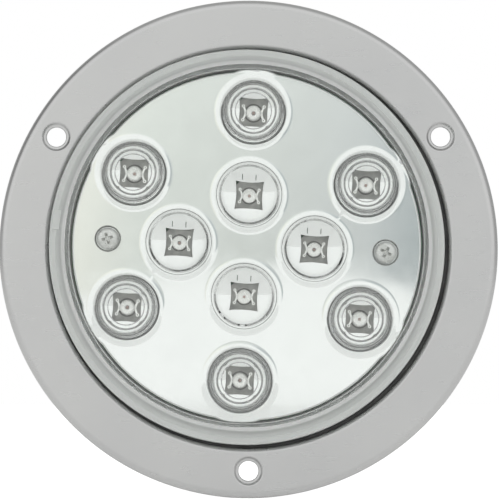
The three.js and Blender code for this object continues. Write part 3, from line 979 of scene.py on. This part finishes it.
def slits(centre):
    """Two narrow slits through a cup's floor, over its window."""
    places = [(centre[0] + across, centre[1] + SLIT["up"]) for across in SLIT["across"]]
    outlines = [rounded_rectangle(SLIT["width"], SLIT["length"], 0.06, place) for place in places]
    return joined([prism(outline, LED_BODY_TOP, PLATE_TOP) for outline in outlines])


def screw_seat(centre):
    radius = PLATE["screw_recess_radius"]
    floor = PLATE_TOP - PLATE["screw_recess"]
    profile = [
        (1.8, floor - 2),
        (1.8, floor),
        *arc(radius - 0.3, floor + 0.3, 0.3, -90, 0, 4),
        (radius, PLATE_TOP - 0.2),
        (radius + 0.2, PLATE_TOP),
        (radius + 0.2, PLATE_TOP + 1),
    ]
    return turned(profile, SMALL_STEPS, centre=centre)


def make_reflector():
    places = [in_lamp(node) for node in OUTER_LEDS + INNER_LEDS]
    mesh = combined(plate_blank(), joined([cup_outside(place) for place in places]), "UNION")
    mesh = combined(mesh, joined([cup_band(place) for place in places]), "UNION")
    mesh = combined(mesh, joined([cup_hollow(place) for place in places]), "DIFFERENCE")
    mesh = combined(mesh, joined([window(place) for place in places]), "DIFFERENCE")
    mesh = combined(mesh, joined([slits(in_lamp(node)) for node in INNER_LEDS]), "DIFFERENCE")
    mesh = combined(mesh, joined([screw_seat(in_lamp(node)) for node in SCREWS]), "DIFFERENCE")
    plating = [MATERIALS["mirror_plating"]]
    piece("reflector_detail", mesh, LAMP_FRAME, plating, "mirror_plating", "reflector_plate")


def make_screw(node):
    """A cross-recessed pan-head screw."""
    bottom, top = levels(node)
    radius, height, edge = SCREW["head_radius"], SCREW["head_height"], SCREW["head_edge"]
    seat = top - height
    crown = 9.0  # the radius of the head's low dome
    crown_reach = radius - 0.55
    crown_centre = top - crown
    crown_edge = math.degrees(math.acos(crown_reach / crown))
    profile = [
        (0.3, bottom),
        (1.45, bottom + 1.4),
        (1.45, seat),
        (radius - edge, seat),
        (radius, seat + edge),
        (radius, crown_centre + crown * math.sin(math.radians(crown_edge)) - 0.55),
        *arc(0, crown_centre, crown, crown_edge, 89.5),
    ]
    cross = [cross_blade(0, top), cross_blade(90, top)]
    mesh = turned(profile, SMALL_STEPS)
    for blade in cross:
        mesh = combined(mesh, blade, "DIFFERENCE")
    across, up = in_lamp(node)
    moved(mesh, across, up, degrees=20 if across < 0 else 65)
    piece(node + "_detail", mesh, LAMP_FRAME, [MATERIALS["zinc"]], "zinc_plate", node)


def cross_blade(degrees, top):
    """One arm of the tapered cross recess."""
    half, blade, depth = SCREW["recess"] / 2, SCREW["blade"] / 2, SCREW["depth"]
    tip = (half * 0.45, blade * 0.6, top - depth)
    levels_of_blade = [tip, (half, blade, top), (half, blade, top + 1)]
    points = []
    for x, y, z in levels_of_blade:
        points += [(-x, -y, z), (x, -y, z), (x, y, z), (-x, y, z)]
    faces = [(0, 1, 2, 3), (8, 9, 10, 11)]
    for row in (0, 4):
        faces += [(row + i, row + (i + 1) % 4, row + 4 + (i + 1) % 4, row + 4 + i) for i in range(4)]
    return moved(mesh_of(points, faces), degrees=degrees)


# ---------------------------------------------------------------- LEDs


def led_block():
    """The LED's square body with one corner cut off."""
    half, cut, corner = LED["side"] / 2, LED["corner_cut"], 0.35
    outline = [
        *arc(-half + corner, -half + corner, corner, 180, 270, 4),
        *arc(half - corner, -half + corner, corner, 270, 360, 4),
        *arc(half - corner, half - corner, corner, 0, 90, 4),
        (-half + cut, half),
        (-half, half - cut),
    ]
    return prism(outline, LED_BODY_TOP - LED["body_height"], LED_BODY_TOP, 0.15)


def ribbon(path, level, thickness):
    """A flat strip along (x, y, half width) points."""
    left, right = [], []
    for i, (x, y, half) in enumerate(path):
        before = path[max(i - 1, 0)]
        after = path[min(i + 1, len(path) - 1)]
        along = Vector((after[0] - before[0], after[1] - before[1])).normalized()
        left.append((x - along.y * half, y + along.x * half))
        right.append((x + along.y * half, y - along.x * half))
    return prism([*right, *reversed(left)], level, level + thickness)


def eyelet(x, y, inner, outer, level, thickness):
    """A flat ring: the pierced end of a lead."""
    top = level + thickness
    profile = [(inner, level), (outer, level), (outer, top), (inner, top)]
    return turned(profile, 24, ring=True, centre=(x, y))


def lead_wing(side):
    """The bone-shaped lead that shows beside the dome, pierced at both ends."""
    level = LED_BODY_TOP - 0.02
    path = []
    for up, across, half in ((-1.35, 2.42, 0.2), (-0.8, 2.16, 0.24), (-0.3, 2.02, 0.24)):
        path.append((side * across, up, half))
    path += [(x, -y, half) for x, y, half in reversed(path)]
    if side < 0:
        path.reverse()
    strip = ribbon(path, level, 0.08)
    ends = [eyelet(side * 2.58, up, 0.16, 0.42, level, 0.08) for up in (-1.7, 1.7)]
    return joined([strip, *ends])


def led_dome():
    neck = LED_BODY_TOP + LED["dome_neck"]
    profile = [
        (LED["dome_radius"] + 0.12, LED_BODY_TOP - 0.01),
        (LED["dome_radius"], LED_BODY_TOP + 0.12),
        *arc(0, neck, LED["dome_radius"], 0, 89, 20),
    ]
    return turned(profile, SMALL_STEPS)


def led_cup():
    """The bright bonding cup that fills the dome's foot: a flat floor and a low sloping rim."""
    level = LED_BODY_TOP + 0.02
    floor = [(0.3, level), (0.32, level + 0.05), (1.3, level + 0.06)]
    rim = [(1.75, level + 0.16), (1.86, level)]
    return turned([*floor, *rim], SMALL_STEPS)


def led_die():
    level = LED_BODY_TOP + 0.02
    return prism(rounded_rectangle(0.4, 0.4, 0.06), level, level + 0.2, 0.03)


def led_shade_ring():
    """A thin flat ring round the dome's foot, dark with painted shade."""
    inner, outer, level = LED["dome_radius"] + 0.13, LED["dome_radius"] + 0.42, LED_BODY_TOP
    low, high = level - 0.05, level + 0.02
    profile = [(inner, low), (outer, low), (outer, high), (inner, high)]
    return turned(profile, SMALL_STEPS, ring=True)


def led_legs():
    foot = levels("led_01")[0]
    half = LED["leg_pitch"] / 2
    size = (LED["leg_width"], LED["leg_thickness"])
    places = [(x, y) for x in (-half, half) for y in (-half, half)]
    top = LED_BODY_TOP - LED["body_height"] + 0.1
    return joined([prism(rounded_rectangle(*size, 0.05, place), foot, top) for place in places])


def make_leds():
    finishes = ["led_body", "lead_frame", "led_epoxy", "led_chip", "led_painted_shade"]
    for number, node in enumerate(OUTER_LEDS + INNER_LEDS):
        parts = [
            paint(led_block(), 0),
            paint(joined([lead_wing(-1), lead_wing(1), led_cup(), led_legs()]), 1),
            paint(led_dome(), 2),
            paint(led_die(), 3),
            # A thin ring of dark painted shade round the dome's foot.
            paint(led_shade_ring(), 4),
        ]
        across, up = in_lamp(node)
        mesh = moved(joined(parts), across, up)
        materials = [MATERIALS[name] for name in finishes]
        piece(node + "_detail", mesh, LAMP_FRAME, materials, "led_epoxy", node)


# ---------------------------------------------------------------- housing


def housing_shell():
    radius, wall = HOUSING["radius"], HOUSING["wall"]
    inner = radius - wall
    floor = -HOUSING["depth"]
    rim_bottom = RIM_TOP - HOUSING["rim_thickness"]
    edge, rim_edge = HOUSING["back_edge"], 0.35
    profile = [
        (inner - 1, floor + HOUSING["floor"]),
        (inner, floor + HOUSING["floor"] + 1),
        (inner, HOUSING_FRONT),
        (radius - 0.3, HOUSING_FRONT),
        (radius, HOUSING_FRONT - 0.3),
        (radius, RIM_TOP),
        *arc(HOUSING["rim_radius"] - rim_edge, RIM_TOP - rim_edge, rim_edge, 90, 0, 4),
        *arc(HOUSING["rim_radius"] - rim_edge, rim_bottom + rim_edge, rim_edge, 0, -90, 4),
        *arc(radius + 0.6, rim_bottom - 0.6, 0.6, 90, 180, 5),
        *arc(radius - edge, floor + edge, edge, 0, -90),
    ]
    return turned(profile, FINE_STEPS)


def housing_rib(angle):
    """A stiffening rib with a rounded crest, from the socket to the rounded edge."""
    half, height = HOUSING["rib_thickness"] / 2, HOUSING["rib_height"]
    floor = -HOUSING["depth"]
    crest = arc(0, floor - height + half * 0.7, half * 0.7, 0, -180, 8)
    section = [(half, floor + 0.4), *crest, (-half, floor + 0.4)]
    start, end = 7.5, HOUSING["radius"] - HOUSING["back_edge"]
    points = [(x, across, level) for x in (start, end) for across, level in section]
    count = len(section)
    faces = [(i, (i + 1) % count, (i + 1) % count + count, i + count) for i in range(count)]
    faces += [list(range(count)), list(range(count, 2 * count))]
    return moved(mesh_of(points, faces), degrees=angle)


def socket_boss():
    """The plug socket's outside. It is drawn mouth up, then turned over to face the back."""
    outline = rounded_rectangle(*HOUSING["socket_size"], HOUSING["socket_corner"])
    mouth, root = -HOUSING_BACK, HOUSING["depth"] - 0.4
    boss = prism(outline, root, mouth, 0.6)
    boss.transform(Matrix.Rotation(math.pi, 4, "X"))
    return outward(boss)


def socket_recess():
    outline = rounded_rectangle(*HOUSING["recess_size"], HOUSING["recess_corner"])
    recess = prism(outline, HOUSING_BACK - 1, HOUSING_BACK + HOUSING["recess_depth"], 0.5)
    width, height = HOUSING["key_size"]
    middle = HOUSING["recess_size"][1] / 2 - height / 2 + 0.5
    key = prism(
        rounded_rectangle(width, height + 1, 0.3, (0, middle)),
        HOUSING_BACK - 3, HOUSING_BACK + HOUSING["recess_depth"] + 2,
    )
    return combined(recess, key, "DIFFERENCE")


def make_housing():
    mesh = housing_shell()
    for angle in HOUSING["rib_angles"]:
        mesh = combined(mesh, housing_rib(angle), "UNION")
    mesh = combined(mesh, socket_boss(), "UNION")
    mesh = combined(mesh, socket_recess(), "DIFFERENCE")
    piece("housing_detail", mesh, LAMP_FRAME, [MATERIALS["grey_plastic"]], "grey_plastic", "housing")


def make_pin(node):
    """A round contact with a rounded nose."""
    tip, top = levels(node)
    radius, shoulder = 1.2, levels("circuit_board")[0] - 0.3
    profile = [
        *arc(0, tip + radius, radius, -85, 0, 10),
        (radius, shoulder),
        (0.6, shoulder),
        (0.6, top),
    ]
    mesh = turned(profile, SMALL_STEPS, centre=in_lamp(node))
    piece(node + "_detail", mesh, LAMP_FRAME, [MATERIALS["brass"]], "brass", node)


# ---------------------------------------------------------------- CAD nodes that stay as they are

KEPT_NODES = {
    "circuit_board": "board_green",
    "potting_compound": "potting",
    "resistor": "resistor_black",
    "diode": "resistor_black",
    "surge_suppressor": "ceramic_blue",
    "capacitor": "can_aluminium",
}


def finish_kept_nodes():
    for name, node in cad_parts.items():
        finish = next((KEPT_NODES[start] for start in KEPT_NODES if name.startswith(start)), None)
        if finish:
            for place in node.material_slots:
                place.material = MATERIALS[finish]


# ---------------------------------------------------------------- studio


def make_floor():
    low, high = cad_box
    corners = [(-1, -1), (1, -1), (1, 1), (-1, 1)]
    mesh = mesh_of([(x * FLOOR_REACH, y * FLOOR_REACH, 0) for x, y in corners], [(0, 1, 2, 3)])
    floor = bpy.data.objects.new("floor", mesh)
    floor.location.z = low.z - FLOOR_GAP * MM
    bpy.context.scene.collection.objects.link(floor)
    mesh.materials.append(material("floor", pale_floor))


def pale_floor(shader):
    cloud = shader.noise(120, 3)
    colour = shader.blended(cloud, (0.88, 0.88, 0.875), (0.92, 0.92, 0.915))
    glow = shader.between(shader.add("LightPath").outputs["Is Camera Ray"], 0.25, 0.8)
    return shader.surface(
        base_color=colour, roughness=0.8, emission_color=(1, 1, 1, 1), emission_strength=glow,
    )


def make_world():
    """A soft studio: white all round, greyer behind and up on the left, with a grey wall in front."""
    world = bpy.data.worlds.new("studio")
    bpy.context.scene.world = world
    world.use_nodes = True
    shader = Shader(world.node_tree)
    direction = shader.add("TexCoord").outputs["Generated"]
    split = shader.add("SeparateXYZ", {"Vector": direction})
    across, along, up = (split.outputs[axis] for axis in "XYZ")
    behind = shader.between(along, 0, 1, -0.55, -0.2)
    room = shader.blended(behind, (0.98, 0.985, 0.98), (0.50, 0.505, 0.50))
    leftward = shader.maths("MULTIPLY", across, -0.8)
    upper_left = shader.maths("ADD", leftward, shader.maths("MULTIPLY", up, 0.6))
    room = shader.blended(shader.between(upper_left, 0, 1, 0.88, 0.97), room, (0.25, 0.25, 0.25))
    share = front_wall_share(shader, across, along, up)
    wall = shader.blended(share, room, front_wall(shader, across, up))
    camera = shader.add("LightPath").outputs["Is Camera Ray"]
    shown = shader.blended(camera, wall, (1, 1, 1))
    background = shader.add("Background", {"Color": shown, "Strength": 1.0})
    shader.add("OutputWorld", {"Surface": background.outputs["Background"]})


def front_wall(shader, across, up):
    """The wall's colour: warm on the left, greener in the middle, darker and bluer on the right."""
    side = shader.between(across, 0, 1, -0.09, 0.09)
    tone = shader.ramp(side, [
        (0.03, (0.90, 0.90, 0.84)),
        (0.17, (0.76, 0.785, 0.75)),
        (0.5, (0.69, 0.71, 0.69)),
        (0.75, (0.64, 0.66, 0.66)),
        (0.86, (0.54, 0.57, 0.58)),
        (0.95, (0.42, 0.46, 0.47)),
    ])
    lift = shader.between(up, 0.94, 1.1, 0.05, 0.14)
    grey = shader.add("CombineXYZ", {"X": lift, "Y": lift, "Z": lift}).outputs["Vector"]
    return shader.add("VectorMath", {0: tone, 1: grey}, operation="MULTIPLY").outputs["Vector"]


def front_wall_share(shader, across, along, up):
    """Where the wall is: in front, from just over the lamp's level up, with its foot bowed."""
    droop = shader.maths("MULTIPLY", shader.maths("MULTIPLY", across, across), 2)
    foot = shader.between(shader.maths("ADD", up, droop), 0, 1, 0.046, 0.050)
    head = shader.between(up, 1, 0, 0.145, 0.2)
    sides = shader.between(shader.maths("ABSOLUTE", across), 1, 0, 0.1, 0.16)
    front = shader.between(along, 1, 0, -0.8, -0.5)
    height = shader.maths("MULTIPLY", foot, head)
    return shader.maths("MULTIPLY", height, shader.maths("MULTIPLY", sides, front))


def make_camera():
    """A long lens that looks at the lamp's front from a little below its middle."""
    data = bpy.data.cameras.new("camera")
    camera = bpy.data.objects.new("camera", data)
    bpy.context.scene.collection.objects.link(camera)
    camera.location = CAMERA["place"]
    target = Vector(CAMERA["target"])
    camera.rotation_mode = "QUATERNION"
    camera.rotation_quaternion = (target - camera.location).to_track_quat("-Z", "Y")
    data.lens = CAMERA["lens"]
    data.sensor_width = CAMERA["sensor"]
    data.clip_start, data.clip_end = 0.05, 20
    bpy.context.scene.camera = camera


# ---------------------------------------------------------------- everything

make_camera()
make_world()
make_floor()

make_flange()
make_flat_ring("flange_gasket_detail", "flange_gasket", 55.5, 58.45, 0.25, "rubber", "black_rubber")
make_flat_ring("retaining_ring_detail", "retaining_ring", 53.3, 58.45, 0.15, "zinc", "zinc_plate")
make_flat_ring("lens_seal_detail", "lens_seal", 53.25, 54.85, 0.15, "sealant", "sealant")
make_lens()
make_reflector()
make_leds()
for screw_node in SCREWS:
    make_screw(screw_node)
make_housing()
for pin_node in PINS:
    make_pin(pin_node)
finish_kept_nodes()

bpy.context.scene.view_settings.view_transform = "Standard"
